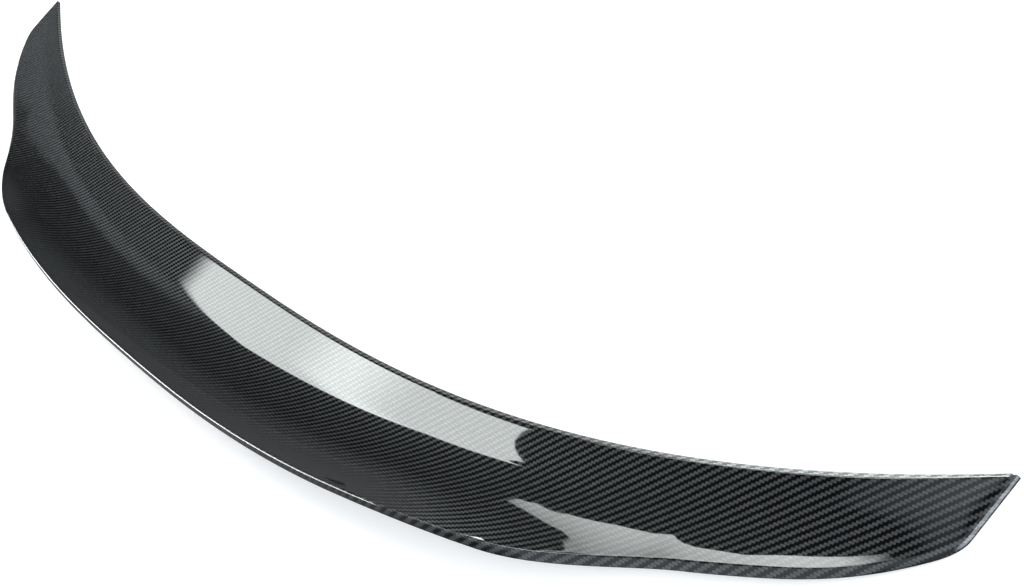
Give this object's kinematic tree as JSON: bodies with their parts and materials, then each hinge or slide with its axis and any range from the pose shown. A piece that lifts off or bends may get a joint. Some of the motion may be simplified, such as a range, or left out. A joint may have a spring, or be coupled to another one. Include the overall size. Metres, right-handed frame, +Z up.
{
  "type": "car rear spoiler",
  "caption": "One-piece ducktail spoiler for a car's boot lid: a thin moulded carbon skin with a raised turned-down lip and swept wings.",
  "frame": {"origin": "middle of the flat bonding land on the underside, on the centre line", "axes": "X runs across the car, +Y points to the car's front, +Z is up, away from the boot lid"},
  "size_m": [1.282, 0.2431, 0.045],
  "materials": {
    "carbon_laminate": "twill-weave carbon laminate under a high-gloss clear coat"
  },
  "bodies": {
    "root": {"spoiler": "carbon_laminate"}
  },
  "joints": []
}
